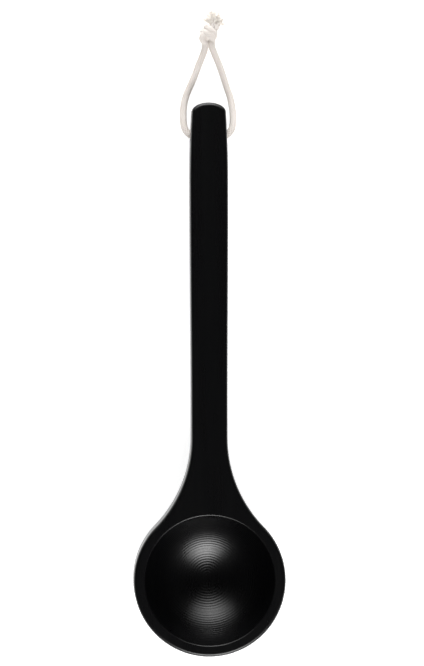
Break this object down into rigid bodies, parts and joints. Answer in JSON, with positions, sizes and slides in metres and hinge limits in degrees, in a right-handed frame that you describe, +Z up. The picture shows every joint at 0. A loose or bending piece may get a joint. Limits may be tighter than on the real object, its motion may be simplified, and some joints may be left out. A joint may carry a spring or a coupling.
{
  "type": "wooden ladle",
  "caption": "Long-handled black wooden ladle with a deep turned bowl, a flat face and a knotted cotton hanging loop through a cross hole in the handle's end.",
  "frame": {"origin": "centre of the wood's box, on the surface that the ladle lies on", "axes": "+Z up, +Y along the handle towards its end and the cord, +X across, to the right when seen from above with the handle away"},
  "size_m": [0.11, 0.4671, 0.051],
  "materials": {
    "lacquered_wood": "satin black lacquer over close-grained wood",
    "cotton_cord": "unbleached braided cotton"
  },
  "bodies": {
    "ladle": {"ladle_body": "lacquered_wood"},
    "cord": {"cord_loop": "cotton_cord", "cord_knot": "cotton_cord", "cord_tail_left": "cotton_cord", "cord_tail_right": "cotton_cord"}
  },
  "joints": [
    {"name": "loop_swing", "type": "hinge", "parent": "ladle", "child": "cord", "pos_m": [0, 0.1752, 0.01073], "axis": [1, 0, 0], "range_deg": [-150, 150]}
  ]
}
